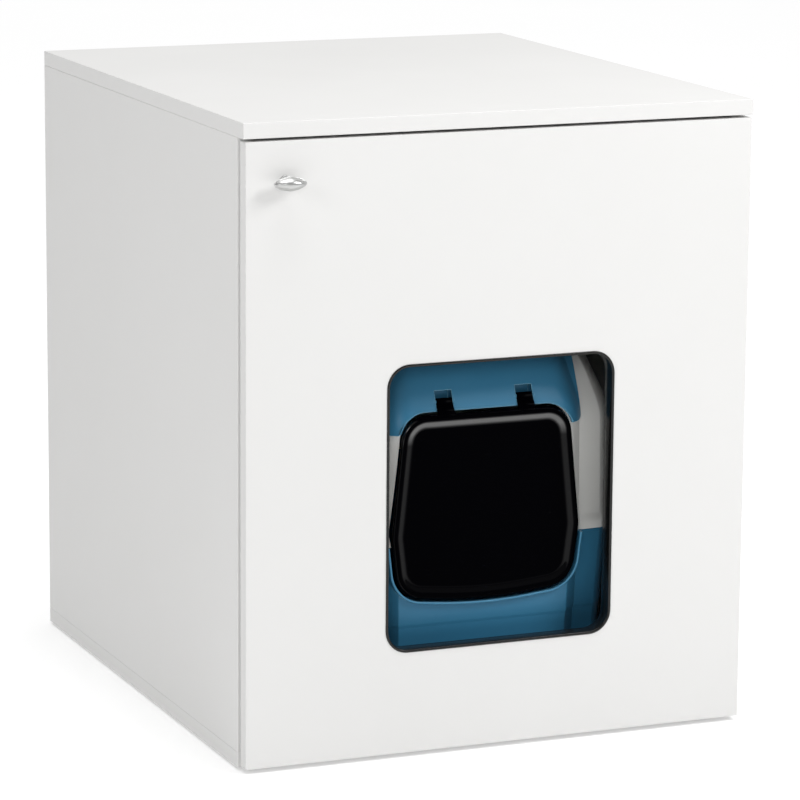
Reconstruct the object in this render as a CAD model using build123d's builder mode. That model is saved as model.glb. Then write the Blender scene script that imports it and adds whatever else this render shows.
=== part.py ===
from build123d import *
import os

os.makedirs("parts", exist_ok=True)

# Carcass boards
carcass_width = 560
carcass_depth = 625
carcass_height = 660
board = 16
edge_round = 0.6

# Back board, held in grooves
back_thickness = 3
back_inset = 10
groove_depth = 6
groove_clearance = 0.2

# Floor glides, nailed on
glide_height = 3
glide_diameter = 20
glide_inset = 30
glide_round = 1
nail_diameter = 2.5
nail_length = 9

# Door, hung on the right
door_gap = 2.5
door_reveal = 2
door_top_gap = 3
door_lift = 2
top_setback = 1
bumper_diameter = 8
bumper_inset = 40
bumper_clearance = 0.3

# Cut-out in the door and its black edge trim
cut_out_width = 250
cut_out_height = 297
cut_out_radius = 23
cut_out_sill = 107.5
trim_cover = 1.5
trim_lip = 1
trim_wall = 1.5
trim_round = 0.5

# Oval knob
knob_inset = 42
knob_drop = 41
knob_length = 35
knob_height = 15
knob_reach = 22
knob_dome = 8
dome_steps = (0, 0.45, 0.75, 0.92, 0.98)
knob_edge = 1.6
knob_step = 0.5
knob_flare = 4
knob_stem = 9
knob_base = 14
knob_base_height = 2
knob_screw_diameter = 4
knob_screw_grip = 9

# Screws
screw_diameter = 3.5
screw_length = 11
screw_head_diameter = 7
screw_head_height = 2
screw_slot = 1
screw_slot_depth = 0.8
hole_clearance = 0.05

# Concealed hinges
hinge_margin = 90
cup_diameter = 35
cup_edge = 3
cup_depth = 13
cup_wall = 0.7
cup_flange = 1
cup_brim = 1.2
wing_length = 62
wing_width = 16
wing_round = 6
cup_screw_spacing = 48
cup_screw_offset = 6
pivot_inset = 3.7
pivot_depth = 10
pivot_diameter = 2
pivot_clearance = 0.05
boss_diameter = 3.8
cheek_gap = 0.3
cheek_thickness = 2
cheek_margin = 1.2
neck_bar = 2
neck_width = 4
neck_height = 10
arm_width = 9
arm_height = 14
arm_start = 12
arm_length = 50
arm_screw_diameter = 4
arm_screw_place = 50
plate_base = 2
plate_rail = 3
plate_rail_height = 11
plate_rail_start = 14
plate_rail_length = 46
plate_width = 34
plate_height = 46
plate_round = 5
plate_screw_place = 37
plate_screw_spacing = 32

# Cam fittings and dowels
cam_setback = 60
cam_reach = 34
cam_diameter = 15
cam_depth = 12.5
cam_clearance = 0.05
cam_slot = 8
cam_cross = 9
cam_cross_width = 1.6
cam_cross_depth = 2
bolt_thread = 6
bolt_thread_length = 11
bolt_shank = 5
bolt_head = 7
bolt_head_length = 5
dowel_spacing = 64
dowel_diameter = 8
dowel_length = 30
dowel_in_panel = 11
dowel_clearance = 0.05

# Litter pan
box_setback = 18
pan_width = 380
pan_length = 470
pan_height = 193
pan_corner = 92
front_inset = 93
bay_depth = 16
bay_shift = 0.414
shoulder_inset = 52
shoulder_shift = 0.6
shoulder_fall = 2
shoulder_pull = 30
shoulder_drop = 6
side_start = 140
pan_draft = 12
pan_wall = 2.5
pan_floor = 3
notch_gap = 3.5
notch_bead = 2.5
notch_bead_reach = 1

# Hood
hood_shoulder = 126
hood_crown = 66
hood_draft = 1
crown_inset = 30
hood_wall = 2.5
shoulder_blend = 14
crown_round = 20
tongue_depth = 6
tongue_wall = 2
tongue_clearance = 0.8
tongue_step = 3
entrance_gap = 3
window_margin = 23
window_rise = 26

# Visor over the hood's front
visor_gap = 0.2
visor_thickness = 2.5
visor_inset = 77
visor_skirt = 31
visor_taper = 0
visor_reach = 140
visor_round = 5
pocket_width = 19
pocket_rise = 9
pocket_wall = 2
pocket_depth = 12

# Swing flap
flap_axis_rise = 148
flap_drop = 12
flap_offset = 9.3
flap_height = 199
flap_top_inset = 96.5
flap_waist_inset = 83
flap_waist_drop = 126
flap_bottom_inset = 91
flap_top_radius = 28
flap_waist_radius = 40
flap_bottom_radius = 32
flap_sag = 10
flap_panel = 2.5
flap_rim = 5
flap_rim_width = 9
flap_gap = 3
tab_inset = 48.5
tab_width = 17
tab_thickness = 3
hinge_bar = 4
barrel_diameter = 9

# Side latches of the hood
latch_width = 36
latch_thickness = 3
latch_barrel = 8
latch_pin = 3
latch_rise = 26
latch_stand = 6
latch_drop = 48
latch_hook = 4
latch_hook_gap = 0.6
latch_clearance = 0.5
lug_thickness = 8
lug_height = 10
lug_root = 2
ledge_width = 30
ledge_height = 6
ledge_drop = 10
ledge_clearance = 1
ledge_root = 1.5

# Places of the boards, with the origin on the floor under the middle of the whole, knob included
bottom_z = glide_height
floor_z = bottom_z + board
top_z = bottom_z + carcass_height
ceiling_z = top_z - board
side_height = ceiling_z - floor_z
rear_y = (carcass_depth + door_gap + board + knob_reach) / 2
front_y = rear_y - carcass_depth
carcass_y = (front_y + rear_y) / 2
inner_x = carcass_width / 2 - board
side_x = inner_x + board / 2
groove_width = back_thickness + groove_clearance
groove_y = rear_y - back_inset - groove_width / 2

# Places on the door
door_back_y = front_y - door_gap
door_front_y = door_back_y - board
door_width = carcass_width - 2 * door_reveal
door_bottom_z = bottom_z + door_lift
door_top_z = ceiling_z - door_top_gap
door_height = door_top_z - door_bottom_z
door_z = (door_top_z + door_bottom_z) / 2
cut_out_z = door_bottom_z + cut_out_sill + cut_out_height / 2
knob_x = -door_width / 2 + knob_inset
knob_z = door_top_z - knob_drop
cup_x = door_width / 2 - cup_edge - cup_diameter / 2
cup_screw_x = cup_x - cup_screw_offset
pivot_x = door_width / 2 - cup_edge - pivot_inset
pivot_y = door_back_y - pivot_depth
hinge_levels = {"upper": door_top_z - hinge_margin, "lower": door_bottom_z + hinge_margin}
cup_screw_levels = [
    level + step * cup_screw_spacing / 2
    for level in hinge_levels.values()
    for step in (-1, 1)
]
plate_screw_levels = [
    level + step * plate_screw_spacing / 2
    for level in hinge_levels.values()
    for step in (-1, 1)
]
plate_screw_y = front_y + plate_screw_place
arm_screw_y = front_y + arm_screw_place
arm_face_x = inner_x - plate_base - plate_rail
arm_back_x = arm_face_x - arm_width

# Places of the fittings: each row of the carcass has one near the front and one near the back
fitting_rows = (front_y + cam_setback, rear_y - cam_setback)
dowel_rows = (front_y + cam_setback + dowel_spacing, rear_y - cam_setback - dowel_spacing)
fitting_spots = [(x, y) for x in (-side_x, side_x) for y in fitting_rows]
dowel_spots = [(x, y) for x in (-side_x, side_x) for y in dowel_rows]
cam_levels = (floor_z + cam_reach, ceiling_z - cam_reach)
glide_x = carcass_width / 2 - glide_inset
glide_y = carcass_depth / 2 - glide_inset
bumper_levels = (door_bottom_z + bumper_inset, door_top_z - bumper_inset)

# Places of the litter box, which stands on the bottom board right behind the door
box_front_y = front_y + box_setback
box_y = box_front_y + pan_length / 2
hood_z = floor_z + pan_height
shoulder_z = hood_z + hood_shoulder
crown_z = shoulder_z + hood_crown
axis_z = hood_z + flap_axis_rise
crown_slope = crown_inset / hood_crown
bay_x = pan_width / 2 - front_inset
shoulder_x = pan_width / 2 - shoulder_inset
visor_face_y = box_front_y + hood_draft + (axis_z - shoulder_z) * crown_slope - visor_gap - visor_thickness
axis_y = visor_face_y + visor_thickness / 2
flap_y = axis_y - flap_offset
flap_top_z = axis_z - flap_drop
flap_bottom_z = flap_top_z - flap_height
flap_top_width = pan_width - 2 * flap_top_inset
flap_waist_width = pan_width - 2 * flap_waist_inset
flap_bottom_width = pan_width - 2 * flap_bottom_inset
visor_width = pan_width - 2 * visor_inset
tab_spacing = flap_top_width - 2 * tab_inset
tab_spots = (-tab_spacing / 2, tab_spacing / 2)
window_width = tab_spacing + 2 * window_margin
latch_x = pan_width / 2 + latch_stand
latch_z = hood_z + latch_rise
ledge_z = hood_z - ledge_drop - ledge_height / 2
lug_span = latch_width + 2 * latch_clearance + lug_thickness
turned_down = (180, 0, 0)


# Plan of the litter box at one height: a flat bay in front, rounded shoulders and round rear corners
def box_plan(inset):
    half = pan_width / 2 - inset
    front = box_front_y + inset
    shoulder_y = front + bay_depth + shoulder_fall
    shoulder = shoulder_x - shoulder_shift * inset
    side_y = box_front_y + side_start
    rear = box_front_y + pan_length - inset
    corner = pan_corner - inset
    crease = bay_x - bay_shift * inset
    with BuildSketch() as plan:
        with BuildLine():
            Line((-crease, front), (crease, front))
            Line((half - corner, rear), (corner - half, rear))
            for side in (-1, 1):
                Polyline(
                    (side * crease, front),
                    (side * (crease + bay_depth), front + bay_depth),
                    (side * shoulder, shoulder_y),
                )
                Bezier(
                    (side * shoulder, shoulder_y),
                    (side * (half - shoulder_pull), shoulder_y + shoulder_drop),
                    (side * half, side_y),
                )
                Line((side * half, side_y), (side * half, rear - corner))
                TangentArc(
                    (side * half, rear - corner), (side * (half - corner), rear), tangent=(0, 1)
                )
        make_face()
    return plan.sketch


# Outline of the flap seen from the front, widest at its waist, with a sagging lower edge
def flap_outline(margin):
    upper = flap_top_z + margin
    lower = flap_bottom_z - margin
    corner = lower + flap_sag
    waist = flap_top_z - flap_waist_drop
    half_top = flap_top_width / 2 + margin
    half_waist = flap_waist_width / 2 + margin
    half_bottom = flap_bottom_width / 2 + margin
    with BuildSketch() as outline:
        with BuildLine():
            Polyline(
                (-half_bottom, corner),
                (-half_waist, waist),
                (-half_top, upper),
                (half_top, upper),
                (half_waist, waist),
                (half_bottom, corner),
            )
            ThreePointArc((half_bottom, corner), (0, lower), (-half_bottom, corner))
        make_face()
        fillet(outline.vertices().sort_by(Axis.Y)[-2:], flap_top_radius + margin)
        fillet(outline.vertices().sort_by(Axis.Y)[2:4], flap_waist_radius + margin)
        fillet(outline.vertices().sort_by(Axis.Y)[:2], flap_bottom_radius + margin)
    return outline.sketch


# Height and inset of the hood's outline, from its rim over the blended shoulder to the rounded crown
shoulder_start = (shoulder_z - shoulder_blend, hood_draft)
shoulder_middle = (shoulder_z, hood_draft + crown_slope * shoulder_blend / 4)
shoulder_end = (shoulder_z + shoulder_blend, hood_draft + crown_slope * shoulder_blend)
crown_edge = hood_draft + crown_inset
crown_start = (crown_z - crown_round, crown_edge - crown_slope * crown_round)
crown_low = (crown_z - crown_round * 4 / 9, crown_edge - crown_slope * crown_round * 4 / 9 + crown_round / 9)
crown_high = (crown_z - crown_round / 9, crown_edge - crown_slope * crown_round / 9 + crown_round * 4 / 9)
crown_end = (crown_z, crown_edge + crown_round)
hood_levels = (
    (hood_z, 0),
    shoulder_start,
    shoulder_middle,
    shoulder_end,
    crown_start,
    crown_low,
    crown_high,
    crown_end,
)


# Domed body of the hood, grown outwards or drawn inwards by one distance
def hood_form(grow):
    with BuildPart() as form:
        for level, inset in hood_levels:
            rise = grow * (level - hood_z) / (crown_z - hood_z)
            with BuildSketch(Plane.XY.offset(level + rise)):
                add(box_plan(inset - grow))
        loft(ruled=True)
    return form.part


# Bottom board, with bores for bolts, dowels and glide nails
with BuildPart() as bottom_panel:
    with BuildSketch(Plane.XY.offset(bottom_z)):
        with Locations((0, carcass_y)):
            Rectangle(carcass_width, carcass_depth)
    extrude(amount=board)
    fillet(bottom_panel.edges(), edge_round)
    with BuildSketch(Plane.XY.offset(floor_z)):
        with Locations((0, groove_y)):
            Rectangle(2 * (inner_x + groove_depth), groove_width)
    extrude(amount=-groove_depth, mode=Mode.SUBTRACT)
    with Locations(*[(x, y, floor_z) for x, y in fitting_spots]):
        Hole(bolt_thread / 2 + hole_clearance, bolt_thread_length)
    with Locations(*[(x, y, floor_z) for x, y in dowel_spots]):
        Hole(dowel_diameter / 2 + dowel_clearance, dowel_in_panel)
    with Locations(Location((0, carcass_y, bottom_z), turned_down)):
        with GridLocations(2 * glide_x, 2 * glide_y, 2, 2):
            Hole(nail_diameter / 2 + hole_clearance, nail_length)
bottom_panel.part.label = "bottom_panel"
export_step(bottom_panel.part, "parts/bottom_panel.step")

# Top board, reaching forward over the door
top_front_y = door_front_y + top_setback
with BuildPart() as top_panel:
    with BuildSketch(Plane.XY.offset(ceiling_z)):
        with Locations((0, (top_front_y + rear_y) / 2)):
            Rectangle(carcass_width, rear_y - top_front_y)
    extrude(amount=board)
    fillet(top_panel.edges(), edge_round)
    with BuildSketch(Plane.XY.offset(ceiling_z)):
        with Locations((0, groove_y)):
            Rectangle(2 * (inner_x + groove_depth), groove_width)
    extrude(amount=groove_depth, mode=Mode.SUBTRACT)
    with Locations(*[Location((x, y, ceiling_z), turned_down) for x, y in fitting_spots]):
        Hole(bolt_thread / 2 + hole_clearance, bolt_thread_length)
    with Locations(*[Location((x, y, ceiling_z), turned_down) for x, y in dowel_spots]):
        Hole(dowel_diameter / 2 + dowel_clearance, dowel_in_panel)
top_panel.part.label = "top_panel"
export_step(top_panel.part, "parts/top_panel.step")

# Side boards, standing between bottom and top
dowel_in_side = dowel_length - dowel_in_panel
for side_name, side in (("left", -1), ("right", 1)):
    with BuildPart() as side_panel:
        with BuildSketch(Plane.XY.offset(floor_z)):
            with Locations((side * side_x, carcass_y)):
                Rectangle(board, carcass_depth)
        extrude(amount=side_height)
        fillet(side_panel.edges(), edge_round)
        with BuildSketch(Plane.XY.offset(floor_z)):
            with Locations((side * (inner_x + groove_depth / 2), groove_y)):
                Rectangle(groove_depth, groove_width)
        extrude(amount=side_height, mode=Mode.SUBTRACT)
        for row in fitting_rows:
            for level in cam_levels:
                with Locations(Location((side * inner_x, row, level), (0, -90 * side, 0))):
                    Hole(cam_diameter / 2, cam_depth)
            with Locations((side * side_x, row, ceiling_z)):
                Hole(cam_slot / 2, cam_reach)
            with Locations(Location((side * side_x, row, floor_z), turned_down)):
                Hole(cam_slot / 2, cam_reach)
        for row in dowel_rows:
            with Locations((side * side_x, row, ceiling_z)):
                Hole(dowel_diameter / 2 + dowel_clearance, dowel_in_side)
            with Locations(Location((side * side_x, row, floor_z), turned_down)):
                Hole(dowel_diameter / 2 + dowel_clearance, dowel_in_side)
        if side > 0:
            for level in plate_screw_levels:
                with Locations(Location((inner_x, plate_screw_y, level), (0, -90, 0))):
                    Hole(screw_diameter / 2 + hole_clearance, screw_length - plate_base)
    side_panel.part.label = f"{side_name}_side_panel"
    export_step(side_panel.part, f"parts/{side_name}_side_panel.step")

# Back board, slid into the grooves
back_reach = groove_depth - groove_clearance
with BuildPart() as back_panel:
    with BuildSketch(Plane.XZ.offset(-(groove_y - back_thickness / 2))):
        with Locations((0, (floor_z + ceiling_z) / 2)):
            Rectangle(2 * (inner_x + back_reach), side_height + 2 * back_reach)
    extrude(amount=-back_thickness)
back_panel.part.label = "back_panel"
export_step(back_panel.part, "parts/back_panel.step")

# Cam locks, with a slot for the bolt's head and a cross recess
cam_height = cam_depth - cam_clearance
with BuildPart() as cam_locks:
    for side in (-1, 1):
        for row in fitting_rows:
            for level, towards_end in zip(cam_levels, (-1, 1)):
                face = Plane(
                    origin=(side * inner_x, row, level), x_dir=(0, 1, 0), z_dir=(side, 0, 0)
                )
                with BuildSketch(face):
                    Circle(cam_diameter / 2 - cam_clearance)
                extrude(amount=cam_height)
                with BuildSketch(face):
                    Rectangle(cam_cross, cam_cross_width)
                    Rectangle(cam_cross_width, cam_cross)
                extrude(amount=cam_cross_depth, mode=Mode.SUBTRACT)
                with BuildSketch(Plane.XY.offset(level - towards_end * cam_slot / 2)):
                    with Locations((side * side_x, row)):
                        Circle(cam_slot / 2)
                extrude(amount=towards_end * (cam_slot / 2 + cam_diameter), mode=Mode.SUBTRACT)
cam_locks.part.label = "cam_locks"
export_step(cam_locks.part, "parts/cam_locks.step")

# Cam bolts, screwed into the bottom and top boards
bolt_end = cam_reach + bolt_head_length / 2
with BuildPart() as cam_bolts:
    for seam, inwards in ((floor_z, 1), (ceiling_z, -1)):
        with BuildSketch(Plane.XY.offset(seam)):
            with Locations(*fitting_spots):
                Circle(bolt_thread / 2)
        extrude(amount=-inwards * bolt_thread_length)
        with BuildSketch(Plane.XY.offset(seam)):
            with Locations(*fitting_spots):
                Circle(bolt_shank / 2)
        extrude(amount=inwards * bolt_end)
        with BuildSketch(Plane.XY.offset(seam + inwards * bolt_end)):
            with Locations(*fitting_spots):
                Circle(bolt_head / 2)
        extrude(amount=-inwards * bolt_head_length)
cam_bolts.part.label = "cam_bolts"
export_step(cam_bolts.part, "parts/cam_bolts.step")

# Wooden dowels across the seams
with BuildPart() as wood_dowels:
    for seam, inwards in ((floor_z, 1), (ceiling_z, -1)):
        with BuildSketch(Plane.XY.offset(seam - inwards * dowel_in_panel)):
            with Locations(*dowel_spots):
                Circle(dowel_diameter / 2)
        extrude(amount=inwards * dowel_length)
wood_dowels.part.label = "wood_dowels"
export_step(wood_dowels.part, "parts/wood_dowels.step")

# Floor glides
with BuildPart() as floor_glides:
    with BuildSketch(Plane.XY):
        with Locations((0, carcass_y)):
            with GridLocations(2 * glide_x, 2 * glide_y, 2, 2):
                Circle(glide_diameter / 2)
    extrude(amount=glide_height)
    fillet(floor_glides.edges().group_by(Axis.Z)[0], glide_round)
    with BuildSketch(Plane.XY.offset(bottom_z)):
        with Locations((0, carcass_y)):
            with GridLocations(2 * glide_x, 2 * glide_y, 2, 2):
                Circle(nail_diameter / 2)
    extrude(amount=nail_length)
floor_glides.part.label = "floor_glides"
export_step(floor_glides.part, "parts/floor_glides.step")

# Soft bumpers on the left board's front edge
with BuildPart() as door_bumpers:
    with BuildSketch(Plane.XZ.offset(-front_y)):
        with Locations(*[(-side_x, level) for level in bumper_levels]):
            Circle(bumper_diameter / 2)
    extrude(amount=door_gap - bumper_clearance)
door_bumpers.part.label = "door_bumpers"
export_step(door_bumpers.part, "parts/door_bumpers.step")

# Door, with the cut-out, the cup bores and the screw holes
with BuildPart() as door_panel:
    with BuildSketch(Plane.XZ.offset(-door_back_y)):
        with Locations((0, door_z)):
            Rectangle(door_width, door_height)
    extrude(amount=board)
    fillet(door_panel.edges(), edge_round)
    with BuildSketch(Plane.XZ.offset(-door_back_y)):
        with Locations((0, cut_out_z)):
            RectangleRounded(cut_out_width, cut_out_height, cut_out_radius)
    extrude(amount=board, mode=Mode.SUBTRACT)
    with BuildSketch(Plane.XZ.offset(-door_back_y)):
        with Locations(*[(cup_x, level) for level in hinge_levels.values()]):
            Circle(cup_diameter / 2)
    extrude(amount=cup_depth, mode=Mode.SUBTRACT)
    with BuildSketch(Plane.XZ.offset(-door_back_y)):
        with Locations(*[(cup_screw_x, level) for level in cup_screw_levels]):
            Circle(screw_diameter / 2 + hole_clearance)
    extrude(amount=screw_length - cup_flange, mode=Mode.SUBTRACT)
    with BuildSketch(Plane.XZ.offset(-door_back_y)):
        with Locations((knob_x, knob_z)):
            Circle(knob_screw_diameter / 2 + hole_clearance)
    extrude(amount=board, mode=Mode.SUBTRACT)
door_panel.part.label = "door_panel"
export_step(door_panel.part, "parts/door_panel.step")

# Black trim: a U-shaped strip pushed over the sawn edge of the cut-out
trim_width = cut_out_width + 2 * trim_cover
trim_height = cut_out_height + 2 * trim_cover
with BuildPart() as opening_trim:
    with BuildSketch(Plane.XZ.offset(-(door_back_y + trim_lip))):
        with Locations((0, cut_out_z)):
            RectangleRounded(trim_width, trim_height, cut_out_radius + trim_cover)
            RectangleRounded(
                cut_out_width - 2 * trim_wall,
                cut_out_height - 2 * trim_wall,
                cut_out_radius - trim_wall,
                mode=Mode.SUBTRACT,
            )
    extrude(amount=board + 2 * trim_lip)
    with BuildSketch(Plane.XZ.offset(-door_back_y)):
        with Locations((0, cut_out_z)):
            Rectangle(trim_width + board, trim_height + board)
            RectangleRounded(cut_out_width, cut_out_height, cut_out_radius, mode=Mode.SUBTRACT)
    extrude(amount=board, mode=Mode.SUBTRACT)
    fillet(opening_trim.faces().sort_by(Axis.Y)[0].edges(), trim_round)
    fillet(opening_trim.faces().sort_by(Axis.Y)[-1].edges(), trim_round)
opening_trim.part.label = "opening_trim"
export_step(opening_trim.part, "parts/opening_trim.step")

# Oval knob: a round stem that flares to an oval rim, and a domed face in front of the rim
knob_rim = knob_reach - knob_dome
flare_end = knob_rim - knob_edge / 2
dome_rise = knob_reach - flare_end
dome_length = knob_length - 2 * knob_step
dome_height = knob_height - 2 * knob_step
with BuildPart() as door_knob:
    with BuildSketch(Plane.XZ.offset(-door_front_y)):
        with Locations((knob_x, knob_z)):
            Circle(knob_base / 2)
    extrude(amount=knob_base_height)
    with BuildSketch(Plane.XZ.offset(-door_front_y)):
        with Locations((knob_x, knob_z)):
            Circle(knob_stem / 2)
    extrude(amount=flare_end)
    with BuildSketch(Plane.XZ.offset(-door_front_y + knob_rim - knob_edge)):
        with Locations((knob_x, knob_z)):
            Ellipse(knob_length / 2, knob_height / 2)
    extrude(amount=knob_edge)
    with BuildSketch(Plane.XZ.offset(-door_front_y + flare_end - knob_flare)):
        with Locations((knob_x, knob_z)):
            Ellipse(knob_stem / 2 - knob_step, knob_stem / 2 - 2 * knob_step)
    with BuildSketch(Plane.XZ.offset(-door_front_y + flare_end)):
        with Locations((knob_x, knob_z)):
            Ellipse(dome_length / 2, dome_height / 2)
    loft(ruled=True)
    for step in dome_steps:
        share = (1 - step**2) ** 0.5
        with BuildSketch(Plane.XZ.offset(-door_front_y + flare_end + dome_rise * step / dome_steps[-1])):
            with Locations((knob_x, knob_z)):
                Ellipse(share * dome_length / 2, share * dome_height / 2)
    loft()
    with BuildSketch(Plane.XZ.offset(-door_front_y)):
        with Locations((knob_x, knob_z)):
            Circle(knob_screw_diameter / 2 + hole_clearance)
    extrude(amount=knob_screw_grip, mode=Mode.SUBTRACT)
door_knob.part.label = "door_knob"
export_step(door_knob.part, "parts/door_knob.step")


# Screw with a slotted pan head, seated on a plane, with its shank along the plane's normal
def slotted_screw(seat, diameter, length):
    head = seat.offset(-screw_head_height)
    with BuildPart() as screw:
        with BuildSketch(seat):
            Circle(diameter / 2)
        extrude(amount=length)
        with BuildSketch(head):
            Circle(screw_head_diameter / 2)
        extrude(amount=screw_head_height)
        with BuildSketch(head):
            Rectangle(screw_head_diameter, screw_slot)
        extrude(amount=screw_slot_depth, mode=Mode.SUBTRACT)
    return screw.part


# Knob screw, through the door from inside
knob_seat = Plane(origin=(knob_x, door_back_y, knob_z), x_dir=(1, 0, 0), z_dir=(0, -1, 0))
knob_screw_body = slotted_screw(knob_seat, knob_screw_diameter, board + knob_screw_grip - screw_slot)
with BuildPart() as knob_screw:
    add(knob_screw_body)
knob_screw.part.label = "knob_screw"
export_step(knob_screw.part, "parts/knob_screw.step")

# Hinge parts, one set at each level
cheek_start = neck_height / 2 + cheek_gap
pin_length = 2 * (cheek_start + cheek_thickness)
for level_name, level in hinge_levels.items():
    # Cup in the door, with a brim, two wings and two cheeks that hold the pin
    with BuildPart() as hinge_cup:
        with BuildSketch(Plane.XZ.offset(-door_back_y)):
            with Locations((cup_x, level)):
                Circle(cup_diameter / 2)
        extrude(amount=cup_depth)
        with BuildSketch(Plane.XZ.offset(-door_back_y)):
            with Locations((cup_x, level)):
                Circle(cup_diameter / 2 + cup_brim)
            with Locations((cup_screw_x, level)):
                RectangleRounded(wing_width, wing_length, wing_round)
        extrude(amount=-cup_flange)
        with BuildSketch(Plane.XZ.offset(-(door_back_y + cup_flange))):
            with Locations((cup_x, level)):
                Circle(cup_diameter / 2 - cup_wall)
        extrude(amount=cup_flange + cup_depth - cup_wall, mode=Mode.SUBTRACT)
        for end in (-1, 1):
            with BuildSketch(Plane.XY.offset(level + end * cheek_start)):
                with Locations((pivot_x + cheek_margin, door_back_y - cup_depth + cup_wall / 2)):
                    Rectangle(
                        boss_diameter / 2 + cheek_margin,
                        cup_depth - cup_wall / 2 - pivot_depth + boss_diameter / 2,
                        align=(Align.MAX, Align.MIN),
                    )
            extrude(amount=end * cheek_thickness)
        with BuildSketch(Plane.XY.offset(level - pin_length / 2)):
            with Locations((pivot_x, pivot_y)):
                Circle(pivot_diameter / 2 + pivot_clearance)
        extrude(amount=pin_length, mode=Mode.SUBTRACT)
        with BuildSketch(Plane.XZ.offset(-(door_back_y + cup_flange))):
            with Locations((cup_screw_x, level)):
                with GridLocations(0, cup_screw_spacing, 1, 2):
                    Circle(screw_diameter / 2 + hole_clearance)
        extrude(amount=cup_flange, mode=Mode.SUBTRACT)
    hinge_cup.part.label = f"{level_name}_hinge_cup"
    export_step(hinge_cup.part, f"parts/{level_name}_hinge_cup.step")

    # Pivot pin across the cup
    with BuildPart() as hinge_pin:
        with BuildSketch(Plane.XY.offset(level - pin_length / 2)):
            with Locations((pivot_x, pivot_y)):
                Circle(pivot_diameter / 2)
        extrude(amount=pin_length)
    hinge_pin.part.label = f"{level_name}_hinge_pin"
    export_step(hinge_pin.part, f"parts/{level_name}_hinge_pin.step")

    # Cranked arm, from the pin out of the cup and back along the side board
    with BuildPart() as hinge_arm:
        with BuildSketch(Plane.XY.offset(level - neck_height / 2)):
            with Locations((pivot_x, pivot_y)):
                Circle(boss_diameter / 2)
            with BuildLine():
                Polyline(
                    (pivot_x, pivot_y - neck_bar / 2),
                    (arm_face_x - neck_width, pivot_y - neck_bar / 2),
                    (arm_face_x - neck_width, front_y + arm_start),
                    (arm_face_x, front_y + arm_start),
                    (arm_face_x, pivot_y + neck_bar / 2),
                    (pivot_x, pivot_y + neck_bar / 2),
                    close=True,
                )
            make_face()
            with Locations((pivot_x, pivot_y)):
                Circle(pivot_diameter / 2 + pivot_clearance, mode=Mode.SUBTRACT)
        extrude(amount=neck_height)
        with BuildSketch(Plane.XY.offset(level - arm_height / 2)):
            with Locations(((arm_face_x + arm_back_x) / 2, front_y + arm_start + arm_length / 2)):
                Rectangle(arm_width, arm_length)
        extrude(amount=arm_height)
        with Locations(Location((arm_back_x, arm_screw_y, level), (0, -90, 0))):
            Hole(arm_screw_diameter / 2 + hole_clearance, arm_width)
    hinge_arm.part.label = f"{level_name}_hinge_arm"
    export_step(hinge_arm.part, f"parts/{level_name}_hinge_arm.step")

    # Mounting plate on the side board
    with BuildPart() as hinge_plate:
        with BuildSketch(Plane.YZ.offset(inner_x)):
            with Locations((plate_screw_y, level)):
                RectangleRounded(plate_width, plate_height, plate_round)
        extrude(amount=-plate_base)
        with BuildSketch(Plane.YZ.offset(inner_x)):
            with Locations((front_y + plate_rail_start + plate_rail_length / 2, level)):
                Rectangle(plate_rail_length, plate_rail_height)
        extrude(amount=-plate_base - plate_rail)
        with Locations(Location((arm_face_x, arm_screw_y, level), (0, -90, 0))):
            Hole(arm_screw_diameter / 2 + hole_clearance, plate_base + plate_rail)
        with BuildSketch(Plane.YZ.offset(inner_x)):
            with Locations((plate_screw_y, level)):
                with GridLocations(0, plate_screw_spacing, 1, 2):
                    Circle(screw_diameter / 2 + hole_clearance)
        extrude(amount=-plate_base, mode=Mode.SUBTRACT)
    hinge_plate.part.label = f"{level_name}_hinge_plate"
    export_step(hinge_plate.part, f"parts/{level_name}_hinge_plate.step")

# Screws of the hinges
cup_seats = [
    Plane(origin=(cup_screw_x, door_back_y + cup_flange, level), x_dir=(1, 0, 0), z_dir=(0, -1, 0))
    for level in cup_screw_levels
]
cup_screw_bodies = [slotted_screw(seat, screw_diameter, screw_length) for seat in cup_seats]
with BuildPart() as cup_screws:
    add(cup_screw_bodies)
cup_screws.part.label = "cup_screws"
export_step(cup_screws.part, "parts/cup_screws.step")

plate_seats = [
    Plane(origin=(inner_x - plate_base, plate_screw_y, level), x_dir=(0, 1, 0), z_dir=(1, 0, 0))
    for level in plate_screw_levels
]
plate_screw_bodies = [slotted_screw(seat, screw_diameter, screw_length) for seat in plate_seats]
with BuildPart() as plate_screws:
    add(plate_screw_bodies)
plate_screws.part.label = "plate_screws"
export_step(plate_screws.part, "parts/plate_screws.step")

arm_seats = [
    Plane(origin=(arm_back_x, arm_screw_y, level), x_dir=(0, 1, 0), z_dir=(1, 0, 0))
    for level in hinge_levels.values()
]
arm_screw_length = arm_width + plate_base + plate_rail
arm_screw_bodies = [slotted_screw(seat, arm_screw_diameter, arm_screw_length) for seat in arm_seats]
with BuildPart() as arm_screws:
    add(arm_screw_bodies)
arm_screws.part.label = "arm_screws"
export_step(arm_screws.part, "parts/arm_screws.step")

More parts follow.
